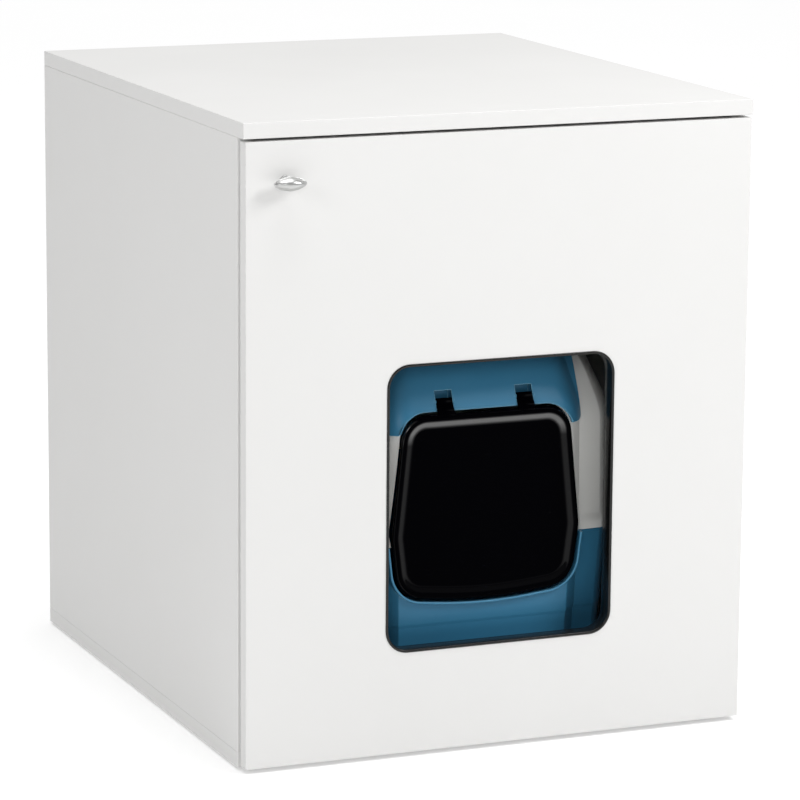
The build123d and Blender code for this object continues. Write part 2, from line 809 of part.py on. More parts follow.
# Litter pan: drafted tub with an entrance notch in its front wall
notch_reach = box_front_y - notch_bead_reach
notch_depth = notch_bead_reach + pan_draft + 2 * pan_wall + bay_depth
with BuildPart() as litter_pan:
    with BuildSketch(Plane.XY.offset(floor_z)):
        add(box_plan(pan_draft))
    with BuildSketch(Plane.XY.offset(hood_z)):
        add(box_plan(0))
    loft(ruled=True)
    with BuildSketch(Plane.XY.offset(floor_z + pan_floor)):
        add(box_plan(pan_draft + pan_wall))
    with BuildSketch(Plane.XY.offset(hood_z)):
        add(box_plan(pan_wall))
    loft(ruled=True, mode=Mode.SUBTRACT)
    with BuildSketch(Plane.XZ.offset(-notch_reach)):
        add(flap_outline(notch_gap + notch_bead))
        with Locations((0, hood_z)):
            Rectangle(
                carcass_width,
                carcass_height,
                align=(Align.CENTER, Align.MIN),
                mode=Mode.SUBTRACT,
            )
    extrude(amount=-notch_depth / 2)
    with BuildSketch(Plane.XZ.offset(-notch_reach)):
        add(flap_outline(notch_gap))
    extrude(amount=-notch_depth, mode=Mode.SUBTRACT)
    for side in (-1, 1):
        with BuildSketch(Plane.XZ.offset(-(box_y - ledge_width / 2))):
            with Locations((side * (pan_width / 2 - ledge_root), ledge_z)):
                Rectangle(
                    ledge_root + latch_stand - latch_thickness / 2 - ledge_clearance,
                    ledge_height,
                    align=(Align.MIN if side > 0 else Align.MAX, Align.CENTER),
                )
        extrude(amount=-ledge_width)
litter_pan.part.label = "litter_pan"
export_step(litter_pan.part, "parts/litter_pan.step")

# Hood: domed shell standing on the pan's edge, with a tongue inside the pan
hood_outer = hood_form(0)
hood_inner = hood_form(-hood_wall)
tongue_inset = pan_wall + tongue_clearance
tongue_break = flap_waist_width + 2 * (notch_gap + notch_bead + tongue_clearance)
with BuildPart() as hood_shell:
    add(hood_outer)
    add(hood_inner, mode=Mode.SUBTRACT)
    with BuildSketch(Plane.XY.offset(hood_z - tongue_depth)):
        add(box_plan(tongue_inset))
        add(box_plan(tongue_inset + tongue_wall), mode=Mode.SUBTRACT)
    extrude(amount=tongue_depth + tongue_step)
    with BuildSketch(Plane.XY.offset(hood_z)):
        add(box_plan(hood_wall / 2))
        add(box_plan(tongue_inset + tongue_wall), mode=Mode.SUBTRACT)
    extrude(amount=tongue_step)
    with BuildSketch(Plane.XZ.offset(-notch_reach)):
        add(flap_outline(entrance_gap))
        with Locations((0, axis_z)):
            Rectangle(window_width, 2 * window_rise)
    extrude(amount=-notch_depth - crown_inset, mode=Mode.SUBTRACT)
    with BuildSketch(Plane.XZ.offset(-notch_reach)):
        with Locations((0, hood_z)):
            Rectangle(tongue_break, 2 * tongue_depth, align=(Align.CENTER, Align.MAX))
    extrude(amount=-notch_depth, mode=Mode.SUBTRACT)
    for side in (-1, 1):
        for end in (-1, 1):
            lug_y = box_y + end * lug_span / 2
            with BuildSketch(Plane.XZ.offset(-(lug_y - lug_thickness / 2))):
                with Locations((side * (pan_width / 2 - lug_root), latch_z)):
                    Rectangle(
                        lug_root + latch_stand + lug_height / 2,
                        lug_height,
                        align=(Align.MIN if side > 0 else Align.MAX, Align.CENTER),
                    )
                with Locations((side * latch_x, latch_z)):
                    Circle(latch_pin / 2 + pivot_clearance, mode=Mode.SUBTRACT)
            extrude(amount=-lug_thickness)
hood_shell.part.label = "hood_shell"
export_step(hood_shell.part, "parts/hood_shell.step")

# Visor: a skin over the hood's front, arched round the flap, with two hinge pockets
visor_outer = hood_form(visor_gap + visor_thickness)
visor_inner = hood_form(visor_gap)
visor_bottom_z = axis_z - visor_skirt
visor_top_z = crown_z + board
visor_face = Plane.XZ.offset(-(box_front_y - box_setback / 2))
with BuildPart() as hood_visor:
    add(visor_outer)
    add(visor_inner, mode=Mode.SUBTRACT)
    with BuildSketch(visor_face) as visor_outline:
        with BuildLine():
            Polyline(
                (-visor_width / 2, visor_bottom_z),
                (visor_width / 2, visor_bottom_z),
                (visor_width / 2 - visor_taper, visor_top_z),
                (-visor_width / 2 + visor_taper, visor_top_z),
                close=True,
            )
        make_face()
        fillet(visor_outline.vertices().sort_by(Axis.Z)[:2], visor_round)
    extrude(amount=-visor_reach, mode=Mode.INTERSECT)
    for tab_x in tab_spots:
        with BuildSketch(Plane.XZ.offset(-(axis_y - visor_thickness / 2))):
            with Locations((tab_x, axis_z)):
                Rectangle(
                    pocket_width + 2 * pocket_wall,
                    pocket_rise + pocket_wall,
                    align=(Align.CENTER, Align.MIN),
                )
        extrude(amount=-visor_thickness - pocket_depth)
    add(visor_outer, mode=Mode.INTERSECT)
    with BuildSketch(visor_face):
        add(flap_outline(flap_gap))
    extrude(amount=-visor_reach / 2, mode=Mode.SUBTRACT)
    for tab_x in tab_spots:
        with BuildSketch(visor_face):
            with Locations((tab_x, flap_top_z)):
                Rectangle(
                    pocket_width, flap_drop + pocket_rise, align=(Align.CENTER, Align.MIN)
                )
        extrude(
            amount=-(axis_y - box_front_y + box_setback / 2 + pocket_depth), mode=Mode.SUBTRACT
        )
        with BuildSketch(Plane.YZ.offset(tab_x - pocket_width / 2 - pocket_wall)):
            with Locations((axis_y, axis_z)):
                Circle(hinge_bar / 2)
        extrude(amount=pocket_width + 2 * pocket_wall)
hood_visor.part.label = "hood_visor"
export_step(hood_visor.part, "parts/hood_visor.step")

# Swing flap: a thin panel with a thicker rim, two tabs and two barrels round the visor's hinge bars
flap_front_y = flap_y - flap_rim / 2
with BuildPart() as entry_flap:
    with BuildSketch(Plane.XZ.offset(-(flap_y + flap_rim / 2))):
        add(flap_outline(0))
    extrude(amount=flap_rim)
    with BuildSketch(Plane.XZ.offset(-flap_front_y)):
        add(flap_outline(-flap_rim_width))
    extrude(amount=-(flap_rim - flap_panel), mode=Mode.SUBTRACT)
    for tab_x in tab_spots:
        with BuildSketch(Plane.YZ.offset(tab_x - tab_width / 2)):
            with BuildLine():
                Polyline(
                    (axis_y - barrel_diameter / 2, axis_z),
                    (flap_y - tab_thickness / 2, flap_top_z - flap_rim_width / 2),
                    (flap_y + tab_thickness / 2, flap_top_z - flap_rim_width / 2),
                    (axis_y, axis_z - barrel_diameter / 2),
                    close=True,
                )
            make_face()
            with Locations((axis_y, axis_z)):
                Circle(barrel_diameter / 2)
                Circle(hinge_bar / 2 + pivot_clearance, mode=Mode.SUBTRACT)
        extrude(amount=tab_width)
entry_flap.part.label = "entry_flap"
export_step(entry_flap.part, "parts/entry_flap.step")

# Side latches, hinged on the hood and hooked under the pan's ledges
for side_name, side in (("left", -1), ("right", 1)):
    with BuildPart() as latch:
        with BuildSketch(Plane.XZ.offset(-(box_y - latch_width / 2))):
            with Locations((side * latch_x, latch_z)):
                Circle(latch_barrel / 2)
                Rectangle(latch_thickness, latch_drop, align=(Align.CENTER, Align.MAX))
            with Locations((side * (latch_x + latch_thickness / 2), latch_z - latch_drop)):
                Rectangle(
                    latch_stand + latch_thickness / 2 - latch_hook_gap,
                    latch_hook,
                    align=(Align.MAX if side > 0 else Align.MIN, Align.MIN),
                )
            with Locations((side * latch_x, latch_z)):
                Circle(latch_pin / 2 + pivot_clearance, mode=Mode.SUBTRACT)
        extrude(amount=-latch_width)
    latch.part.label = f"{side_name}_latch"
    export_step(latch.part, f"parts/{side_name}_latch.step")

# Pins of the latches
latch_pin_length = lug_span + lug_thickness
with BuildPart() as latch_pins:
    with BuildSketch(Plane.XZ.offset(-(box_y - latch_pin_length / 2))):
        with Locations((-latch_x, latch_z), (latch_x, latch_z)):
            Circle(latch_pin / 2)
    extrude(amount=-latch_pin_length)
latch_pins.part.label = "latch_pins"
export_step(latch_pins.part, "parts/latch_pins.step")
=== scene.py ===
import math
import bpy
from mathutils import Matrix, Vector
from mathutils.kdtree import KDTree


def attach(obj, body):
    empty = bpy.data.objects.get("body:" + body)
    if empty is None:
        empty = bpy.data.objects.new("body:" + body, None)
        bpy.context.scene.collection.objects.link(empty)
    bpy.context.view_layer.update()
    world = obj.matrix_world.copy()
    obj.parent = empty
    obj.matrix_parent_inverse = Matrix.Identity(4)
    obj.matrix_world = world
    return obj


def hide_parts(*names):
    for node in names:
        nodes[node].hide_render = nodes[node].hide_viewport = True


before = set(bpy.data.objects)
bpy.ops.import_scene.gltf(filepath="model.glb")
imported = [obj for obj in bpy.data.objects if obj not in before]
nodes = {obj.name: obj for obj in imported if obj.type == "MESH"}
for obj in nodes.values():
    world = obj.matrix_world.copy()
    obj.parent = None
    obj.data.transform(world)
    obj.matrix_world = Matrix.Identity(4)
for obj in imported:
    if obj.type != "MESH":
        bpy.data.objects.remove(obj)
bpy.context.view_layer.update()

mm = 0.001
print("frame loaded:", len(nodes), "nodes")


# back to object mode with nothing picked
def startFresh():
    if bpy.context.object and bpy.context.object.mode != "OBJECT":
        bpy.ops.object.mode_set(mode="OBJECT")
    bpy.ops.object.select_all(action="DESELECT")


def pick(*pieces):
    startFresh()
    for piece in pieces:
        piece.select_set(True)
    bpy.context.view_layer.objects.active = pieces[0]


def editMode(mode):
    bpy.ops.object.mode_set(mode="EDIT")
    bpy.ops.mesh.select_mode(type=mode)
    bpy.ops.mesh.select_all(action="DESELECT")


# closed outline in two directions, corners given as (across, up, radius), counter-clockwise
def roundOutline(corners, steps):
    points = []
    count = len(corners)
    for i, (x, z, radius) in enumerate(corners):
        here = Vector((x, z))
        toLast = (Vector(corners[i - 1][:2]) - here).normalized()
        toNext = (Vector(corners[(i + 1) % count][:2]) - here).normalized()
        half = toLast.angle(toNext) / 2
        if radius == 0:
            points.append(here)
            continue
        middle = here + (toLast + toNext).normalized() * radius / math.sin(half)
        start = here + toLast * radius / math.tan(half) - middle
        sweep = math.pi - 2 * half
        for k in range(steps + 1):
            turn = Matrix.Rotation(sweep * k / steps, 2)
            points.append(middle + turn @ start)
    return points


# the same outline drawn inwards by one distance, held back where a corner is very sharp
def insetOutline(points, inset, leastLean=0.3):
    drawn = []
    for i, here in enumerate(points):
        before = (here - points[i - 1]).normalized()
        after = (points[(i + 1) % len(points)] - here).normalized()
        inward = Vector((-before.y - after.y, before.x + after.x)).normalized()
        lean = max(leastLean, inward.dot(Vector((-after.y, after.x))))
        drawn.append(here + inward * inset / lean)
    return drawn


def rectOutline(left, right, low, high, radius=0.0, steps=5):
    corners = [(right, low), (right, high), (left, high), (left, low)]
    return roundOutline([(x, z, radius) for x, z in corners], steps)


# an outline seen from the front, set at one depth
def frontRing(outline, y):
    return [Vector((p.x, y, p.y)) * mm for p in outline]


# a ring of edges to extrude from, one vertex for each point
def ringStart(name, points):
    startFresh()
    bpy.ops.mesh.primitive_circle_add(vertices=len(points), radius=mm)
    piece = bpy.context.object
    piece.name = piece.data.name = name
    for vertex, point in zip(piece.data.vertices, points):
        vertex.co = point
    editMode("EDGE")
    bpy.ops.mesh.select_all(action="SELECT")
    bpy.ops.object.mode_set(mode="OBJECT")
    return piece


# extrudes the picked ring, and moves each new vertex to its point of the next ring
def ringGrow(piece, last, points):
    tree = KDTree(len(last))
    for i, point in enumerate(last):
        tree.insert(point, i)
    tree.balance()
    bpy.ops.object.mode_set(mode="EDIT")
    bpy.ops.mesh.extrude_edges_move()
    bpy.ops.object.mode_set(mode="OBJECT")
    for vertex in piece.data.vertices[-len(points):]:
        vertex.co = points[tree.find(vertex.co)[1]]
    piece.data.update()


def ringCap():
    bpy.ops.object.mode_set(mode="EDIT")
    bpy.ops.mesh.edge_face_add()
    bpy.ops.object.mode_set(mode="OBJECT")


# rings from first to last, capped at the ends or joined up
def ringBody(name, rings, closed=False):
    piece = ringStart(name, rings[0])
    if not closed:
        ringCap()
    for last, points in zip(rings, rings[1:]):
        ringGrow(piece, last, points)
    if closed:
        ringGrow(piece, rings[-1], rings[0])
    else:
        ringCap()
    editMode("VERT")
    bpy.ops.mesh.select_all(action="SELECT")
    if closed:
        bpy.ops.mesh.remove_doubles(threshold=0.001 * mm)
    bpy.ops.mesh.normals_make_consistent(inside=False)
    bpy.ops.object.mode_set(mode="OBJECT")
    return piece


def applyModifier(piece, kind, **values):
    pick(piece)
    modifier = piece.modifiers.new(kind.lower(), kind)
    for key, value in values.items():
        setattr(modifier, key, value)
    bpy.ops.object.modifier_apply(modifier=modifier.name)


def smoothPiece(piece, degrees):
    pick(piece)
    bpy.ops.object.shade_smooth_by_angle(angle=math.radians(degrees))


# a cutter with one outline seen from the front, between two depths
def frontBlock(outline, near, far):
    return ringBody("frontBlock", [frontRing(outline, y) for y in (near, far)])


def cutWith(piece, cutter, operation="DIFFERENCE"):
    applyModifier(piece, "BOOLEAN", object=cutter, operation=operation, solver="EXACT")
    bpy.data.objects.remove(cutter, do_unlink=True)


# a profile seen from the side, drawn out between two places across
def sideBlock(name, profile, left, right):
    return ringBody(name, [[Vector((x, y, z)) * mm for y, z in profile] for x in (left, right)])


# cuts a piece at one height, keeps one part and closes the cut
def trimAt(piece, z, keepBelow=True):
    pick(piece)
    editMode("VERT")
    bpy.ops.mesh.select_all(action="SELECT")
    bpy.ops.mesh.bisect(
        plane_co=(0, 0, z * mm), plane_no=(0, 0, 1), use_fill=True,
        clear_outer=keepBelow, clear_inner=not keepBelow,
    )
    bpy.ops.object.mode_set(mode="OBJECT")


def joinPieces(piece, *others):
    pick(piece, *others)
    bpy.ops.object.join()


def roundEdges(piece, width, degrees, segments=2):
    limit = math.radians(degrees)
    applyModifier(
        piece, "BEVEL", width=width * mm, segments=segments, limit_method="ANGLE", angle_limit=limit
    )


def dressPiece(piece, body, slot, material, *replaced):
    piece.data.materials.clear()
    piece.data.materials.append(material)
    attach(piece, body)
    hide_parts(*replaced)
    print("made", piece.name, len(piece.data.polygons), "faces")


# camera at the photo's viewing angle
cameraSet = {
    "place": (-1.63806, -3.97573, 1.19161),
    "yaw": 22.601,
    "pitch": -11.622,
    "roll": 0.4234,
    "lens": 181.1,
    "sensor": 36,
    "reach": 50,
}


def addCamera(s):
    yaw, pitch, roll = (math.radians(s[k]) for k in ("yaw", "pitch", "roll"))
    ahead = Vector((math.sin(yaw) * math.cos(pitch), math.cos(yaw) * math.cos(pitch), math.sin(pitch)))
    right = Vector((math.cos(yaw), -math.sin(yaw), 0))
    up = right.cross(ahead)
    rolledRight = right * math.cos(roll) + up * math.sin(roll)
    rolledUp = rolledRight.cross(ahead)
    turn = Matrix((rolledRight, rolledUp, -ahead)).transposed()
    bpy.ops.object.camera_add(location=s["place"], rotation=turn.to_euler())
    camera = bpy.context.object
    camera.name = "photoCamera"
    camera.data.lens = s["lens"]
    camera.data.sensor_width = s["sensor"]
    camera.data.clip_end = s["reach"]
    bpy.context.scene.camera = camera
    print("camera set")


startFresh()
addCamera(cameraSet)


# a shader node with its name, its own settings and the values of its inputs
def newNode(tree, kind, label, **values):
    node = tree.nodes.new(kind)
    node.name = node.label = label
    for key, value in values.items():
        if hasattr(node, key):
            setattr(node, key, value)
        else:
            node.inputs[key].default_value = value
    return node


def newGroup(name, inputs, outputs):
    group = bpy.data.node_groups.new(name, "ShaderNodeTree")
    for label, kind, value in inputs:
        socket = group.interface.new_socket(label, in_out="INPUT", socket_type=kind)
        socket.default_value = value
    for label, kind in outputs:
        group.interface.new_socket(label, in_out="OUTPUT", socket_type=kind)
    return group, group.nodes.new("NodeGroupInput"), group.nodes.new("NodeGroupOutput")


# one calculation with two values, each a number or another node's output
def mathNode(tree, operation, first, second, clamp=False):
    node = tree.nodes.new("ShaderNodeMath")
    node.operation = operation
    node.use_clamp = clamp
    for socket, value in zip(node.inputs, (first, second)):
        if isinstance(value, (int, float)):
            socket.default_value = value
        else:
            tree.links.new(value, socket)
    return node.outputs[0]


# soft patches: two sizes of cloud, from 0 to 1
patchSet = {"smallRatio": 4.3, "smallShare": 0.35, "wideShare": 0.65, "middle": 0.5}


def makePatches(s):
    group, given, result = newGroup(
        "softPatches",
        [("Scale", "NodeSocketFloat", 6.0), ("Contrast", "NodeSocketFloat", 1.0)],
        [("Mask", "NodeSocketFloat")],
    )
    place = newNode(group, "ShaderNodeTexCoord", "place")
    wide = newNode(group, "ShaderNodeTexNoise", "wideClouds", Detail=2.0, Roughness=0.5)
    small = newNode(group, "ShaderNodeTexNoise", "smallClouds", Detail=3.0, Roughness=0.6)
    for noise, ratio in ((wide, 1.0), (small, s["smallRatio"])):
        group.links.new(place.outputs["Object"], noise.inputs["Vector"])
        group.links.new(mathNode(group, "MULTIPLY", given.outputs["Scale"], ratio), noise.inputs["Scale"])
    smallPart = mathNode(group, "MULTIPLY", small.outputs["Fac"], s["smallShare"])
    widePart = mathNode(group, "MULTIPLY", wide.outputs["Fac"], s["wideShare"])
    both = mathNode(group, "ADD", widePart, smallPart)
    centred = mathNode(group, "SUBTRACT", both, s["middle"])
    spread = mathNode(group, "MULTIPLY", centred, given.outputs["Contrast"])
    group.links.new(mathNode(group, "ADD", spread, s["middle"], clamp=True), result.inputs["Mask"])
    return group


# fine pebble of a moulded or pressed skin, as a height
skinSet = {"grainRatio": 2.1}


def makeSkin(s):
    group, given, result = newGroup(
        "moulding",
        [("Scale", "NodeSocketFloat", 900.0), ("Softness", "NodeSocketFloat", 0.5)],
        [("Height", "NodeSocketFloat")],
    )
    place = newNode(group, "ShaderNodeTexCoord", "place")
    pebbles = newNode(group, "ShaderNodeTexVoronoi", "pebbles", feature="SMOOTH_F1")
    grain = newNode(group, "ShaderNodeTexNoise", "grain", Detail=2.0)
    for node, ratio in ((pebbles, 1.0), (grain, s["grainRatio"])):
        group.links.new(place.outputs["Object"], node.inputs["Vector"])
        group.links.new(mathNode(group, "MULTIPLY", given.outputs["Scale"], ratio), node.inputs["Scale"])
    fine = mathNode(group, "MULTIPLY", grain.outputs["Fac"], given.outputs["Softness"])
    group.links.new(mathNode(group, "ADD", pebbles.outputs["Distance"], fine), result.inputs["Height"])
    return group


# line where two faces meet, from the bent normal; its colour is a painted highlight, and on the hardboard
# it is the brown colour of the cut edge
def makeEdge():
    group, given, result = newGroup(
        "edgeLineAndHighlight",
        [("Width", "NodeSocketFloat", 0.001), ("Gain", "NodeSocketFloat", 3.0)],
        [("Mask", "NodeSocketFloat"), ("Normal", "NodeSocketVector")],
    )
    bend = newNode(group, "ShaderNodeBevel", "bend", samples=6)
    group.links.new(given.outputs["Width"], bend.inputs["Radius"])
    flat = newNode(group, "ShaderNodeNewGeometry", "flat")
    dot = newNode(group, "ShaderNodeVectorMath", "sameWay", operation="DOT_PRODUCT")
    group.links.new(bend.outputs["Normal"], dot.inputs[0])
    group.links.new(flat.outputs["Normal"], dot.inputs[1])
    apart = mathNode(group, "SUBTRACT", 1.0, dot.outputs["Value"])
    mask = mathNode(group, "MULTIPLY", apart, given.outputs["Gain"], clamp=True)
    group.links.new(mask, result.inputs["Mask"])
    group.links.new(bend.outputs["Normal"], result.inputs["Normal"])
    return group


# dust that settles on what faces up, broken by clouds
def makeDust():
    group, given, result = newGroup(
        "dustFilm",
        [("Amount", "NodeSocketFloat", 0.3), ("Scale", "NodeSocketFloat", 18.0)],
        [("Mask", "NodeSocketFloat")],
    )
    place = newNode(group, "ShaderNodeTexCoord", "place")
    facing = newNode(group, "ShaderNodeNewGeometry", "facing")
    level = newNode(group, "ShaderNodeSeparateXYZ", "level")
    group.links.new(facing.outputs["Normal"], level.inputs[0])
    clouds = newNode(group, "ShaderNodeTexNoise", "clouds", Detail=5.0, Roughness=0.7)
    group.links.new(place.outputs["Object"], clouds.inputs["Vector"])
    group.links.new(given.outputs["Scale"], clouds.inputs["Scale"])
    upward = mathNode(group, "MAXIMUM", level.outputs["Z"], 0.0)
    broken = mathNode(group, "MULTIPLY", upward, clouds.outputs["Fac"])
    mask = mathNode(group, "MULTIPLY", broken, given.outputs["Amount"], clamp=True)
    group.links.new(mask, result.inputs["Mask"])
    return group


softPatches, moulding = makePatches(patchSet), makeSkin(skinSet)
edgeLineAndHighlight, dustFilm = makeEdge(), makeDust()
print("shader groups made")


def placeGroup(tree, group, **values):
    node = tree.nodes.new("ShaderNodeGroup")
    node.node_tree = group
    for key, value in values.items():
        node.inputs[key].default_value = value
    return node


def mixColours(tree, mask, first, second):
    mix = tree.nodes.new("ShaderNodeMix")
    mix.data_type = "RGBA"
    tree.links.new(mask, mix.inputs[0])
    for socket, value in ((mix.inputs[6], first), (mix.inputs[7], second)):
        if isinstance(value, tuple):
            socket.default_value = (*value, 1)
        else:
            tree.links.new(value, socket)
    return mix.outputs[2]


# gloss on one slope of a piece: between two depths, strongest between two heights
def slopeMask(tree, s):
    level = newNode(tree, "ShaderNodeSeparateXYZ", "level")
    place = newNode(tree, "ShaderNodeTexCoord", "place")
    tree.links.new(place.outputs["Object"], level.inputs[0])
    rising = mathNode(tree, "SUBTRACT", level.outputs["Y"], s["near"])
    rising = mathNode(tree, "MULTIPLY", rising, s["depthFade"], clamp=True)
    falling = mathNode(tree, "SUBTRACT", s["far"], level.outputs["Y"])
    falling = mathNode(tree, "MULTIPLY", falling, s["depthFade"], clamp=True)
    slope = mathNode(tree, "MULTIPLY", rising, falling)
    upper = mathNode(tree, "SUBTRACT", level.outputs["Z"], s["low"])
    upper = mathNode(tree, "MULTIPLY", upper, s["lowFade"], clamp=True)
    under = mathNode(tree, "SUBTRACT", s["high"], level.outputs["Z"])
    under = mathNode(tree, "MULTIPLY", under, s["highFade"], clamp=True)
    slope = mathNode(tree, "MULTIPLY", slope, under)
    share = mathNode(tree, "ADD", mathNode(tree, "MULTIPLY", upper, s["most"] - s["least"]), s["least"])
    return mathNode(tree, "MULTIPLY", slope, share)


# one finish: colour in patches, edge line of painted highlight (on the hardboard its own cut-edge colour),
# dust, roughness in patches and a moulded skin
def makeFinish(name, s):
    material = bpy.data.materials.new(name)
    material.use_nodes = True
    tree = material.node_tree
    shader = tree.nodes["Principled BSDF"]
    patches = placeGroup(tree, softPatches, Scale=s["patch"], Contrast=s["contrast"])
    edge = placeGroup(tree, edgeLineAndHighlight, Width=s["edgeWidth"], Gain=s["edgeGain"])
    dust = placeGroup(tree, dustFilm, Amount=s["dust"], Scale=s["dustScale"])
    skin = placeGroup(tree, moulding, Scale=s["skin"], Softness=s["skinSoftness"])
    colour = mixColours(tree, patches.outputs["Mask"], s["dark"], s["light"])
    # painted highlight along the edges; on the hardboard this is the brown colour of the cut edge
    colour = mixColours(tree, edge.outputs["Mask"], colour, s["edge"])
    colour = mixColours(tree, dust.outputs["Mask"], colour, s["dustColour"])
    tree.links.new(colour, shader.inputs["Base Color"])
    low, high = s["rough"]
    rough = mathNode(tree, "MULTIPLY", patches.outputs["Mask"], high - low)
    rough = mathNode(tree, "ADD", rough, low)
    dull = mathNode(tree, "MULTIPLY", dust.outputs["Mask"], s["dustRough"])
    rough = mathNode(tree, "ADD", rough, dull, clamp=True)
    tree.links.new(rough, shader.inputs["Roughness"])
    bump = newNode(tree, "ShaderNodeBump", "skinBump", Strength=s["bump"], Distance=s["depth"])
    tree.links.new(skin.outputs["Height"], bump.inputs["Height"])
    tree.links.new(edge.outputs["Normal"], bump.inputs["Normal"])
    tree.links.new(bump.outputs["Normal"], shader.inputs["Normal"])
    if "coat" in s:
        tree.links.new(slopeMask(tree, s["coat"]), shader.inputs["Coat Weight"])
        shader.inputs["Coat Roughness"].default_value = s["coat"]["rough"]
        shader.inputs["Coat IOR"].default_value = s["coat"]["index"]
    shader.inputs["Metallic"].default_value = s.get("metal", 0.0)
    shader.inputs["Specular IOR Level"].default_value = s.get("gloss", 0.5)
    return material


baseFinish = {
    "patch": 5.0, "contrast": 1.2, "edgeWidth": 0.0008, "edgeGain": 3.0, "dust": 0.05,
    "dustColour": (0.6, 0.58, 0.55), "dustScale": 22.0, "dustRough": 0.3,
    "skin": 700.0, "skinSoftness": 0.6, "bump": 0.1, "depth": 0.0002,
}
# each finish's edge colour is a painted highlight along its edges; only the hardboard's brown edge is the
# real colour of its cut edge
finishSet = {
    "white_melamine": {
        "dark": (0.712, 0.709, 0.699), "light": (0.742, 0.739, 0.731), "edge": (0.79, 0.787, 0.78),
        "rough": (0.5, 0.6), "skin": 420.0, "bump": 0.12, "gloss": 0.22, "patch": 3.0,
    },
    "white_hardboard": {
        "dark": (0.78, 0.775, 0.76), "light": (0.84, 0.835, 0.82), "edge": (0.5, 0.42, 0.34),
        "rough": (0.45, 0.6), "skin": 260.0, "bump": 0.2,
    },
    "black_trim": {
        "dark": (0.003, 0.003, 0.003), "light": (0.006, 0.006, 0.006), "edge": (0.03, 0.028, 0.026),
        "rough": (0.16, 0.26), "skin": 1500.0, "bump": 0.06, "dust": 0.02, "gloss": 0.35,
    },
    "chrome": {
        "dark": (0.48, 0.485, 0.48), "light": (0.56, 0.56, 0.555), "edge": (0.5, 0.5, 0.49),
        "rough": (0.34, 0.4), "metal": 1.0, "bump": 0.02, "dust": 0.0,
    },
    "nickel_steel": {
        "dark": (0.5, 0.49, 0.47), "light": (0.62, 0.61, 0.59), "edge": (0.75, 0.74, 0.72),
        "rough": (0.22, 0.36), "metal": 1.0, "skin": 1200.0, "bump": 0.06,
    },
    "zinc_steel": {
        "dark": (0.48, 0.48, 0.48), "light": (0.64, 0.64, 0.63), "edge": (0.72, 0.72, 0.71),
        "rough": (0.3, 0.45), "metal": 1.0, "skin": 1800.0, "bump": 0.1, "patch": 60.0,
    },
    "beech": {
        "dark": (0.55, 0.38, 0.22), "light": (0.7, 0.52, 0.34), "edge": (0.75, 0.6, 0.42),
        "rough": (0.5, 0.7), "skin": 600.0, "bump": 0.3, "patch": 40.0, "contrast": 2.0,
    },
    "white_nylon": {
        "dark": (0.7, 0.69, 0.66), "light": (0.8, 0.79, 0.77), "edge": (0.86, 0.86, 0.84),
        "rough": (0.4, 0.55), "skin": 900.0, "patch": 50.0,
    },
    "clear_bumper": {
        "dark": (0.6, 0.62, 0.63), "light": (0.72, 0.73, 0.74), "edge": (0.85, 0.86, 0.87),
        "rough": (0.18, 0.3), "patch": 80.0,
    },
    "blue_plastic": {
        "dark": (0.036, 0.18, 0.315), "light": (0.048, 0.21, 0.36), "edge": (0.3, 0.6, 0.75),
        # wider, stronger painted highlight along the edges
        "edgeWidth": 0.001, "edgeGain": 5.0,
        "rough": (0.26, 0.36), "skin": 1100.0, "bump": 0.04, "dust": 0.03, "gloss": 0.2,
    },
    "grey_plastic": {
        "dark": (0.74, 0.74, 0.715), "light": (0.8, 0.8, 0.775), "edge": (0.86, 0.86, 0.84),
        "rough": (0.26, 0.38), "skin": 1000.0, "bump": 0.08, "dust": 0.03, "gloss": 0.35,
    },
    "smoked_flap": {
        "dark": (0.0004, 0.0004, 0.0008), "light": (0.0007, 0.0007, 0.0013), "edge": (0.003, 0.003, 0.004),
        "rough": (0.08, 0.14), "skin": 1400.0, "bump": 0.01, "gloss": 0.006, "dust": 0.0,
        # on the slope round the sunk panel, in metres: strongest under the flap's top edge, faint below
        "coat": {
            "near": -0.2764, "far": -0.2742, "depthFade": 2500.0, "low": 0.318, "lowFade": 80.0,
            "high": 0.3445, "highFade": 800.0, "least": 0.12, "most": 1.0, "rough": 0.08, "index": 1.9,
        },
    },
}
finishes = {name: makeFinish(name, {**baseFinish, **values}) for name, values in finishSet.items()}
slotNodes = {
    "white_melamine": ["top_panel", "bottom_panel", "left_side_panel", "right_side_panel", "door_panel"],
    "white_hardboard": ["back_panel"],
    "black_trim": ["opening_trim"],
    "chrome": ["door_knob"],
    "nickel_steel": [
        level + "_hinge_" + part for level in ("upper", "lower") for part in ("cup", "arm", "pin", "plate")
    ],
    "zinc_steel": ["knob_screw", "cup_screws", "plate_screws", "arm_screws", "cam_locks", "cam_bolts"],
    "beech": ["wood_dowels"],
    "white_nylon": ["floor_glides"],
    "clear_bumper": ["door_bumpers"],
    "blue_plastic": ["litter_pan", "hood_visor"],
    "grey_plastic": ["hood_shell", "left_latch", "right_latch", "latch_pins"],
    "smoked_flap": ["entry_flap"],
}
for slotName, names in slotNodes.items():
    for name in names:
        nodes[name].data.materials.clear()
        nodes[name].data.materials.append(finishes[slotName])
print("finishes made:", len(finishes))


# edge trim of the door's cut-out: a rounded bead at each face of the door, with a sleeve between
trimSet = {
    "half": 125.0, "low": 112.5, "high": 409.5, "corner": 23.0, "cornerSteps": 12, "smooth": 40,
    # how far outside the cut-out's edge, and where in depth
    "profile": [
        (1.35, -310.75), (1.5, -311.1), (1.25, -311.5), (0.7, -311.72), (0.0, -311.78), (-0.7, -311.7),
        (-1.25, -311.45), (-1.5, -311.0), (-1.5, -294.5), (-1.25, -294.05), (-0.7, -293.8), (0.0, -293.75),
        (0.7, -293.8), (1.25, -294.05), (1.5, -294.45), (1.35, -294.75), (0.0, -294.75), (0.0, -310.75),
    ],
}


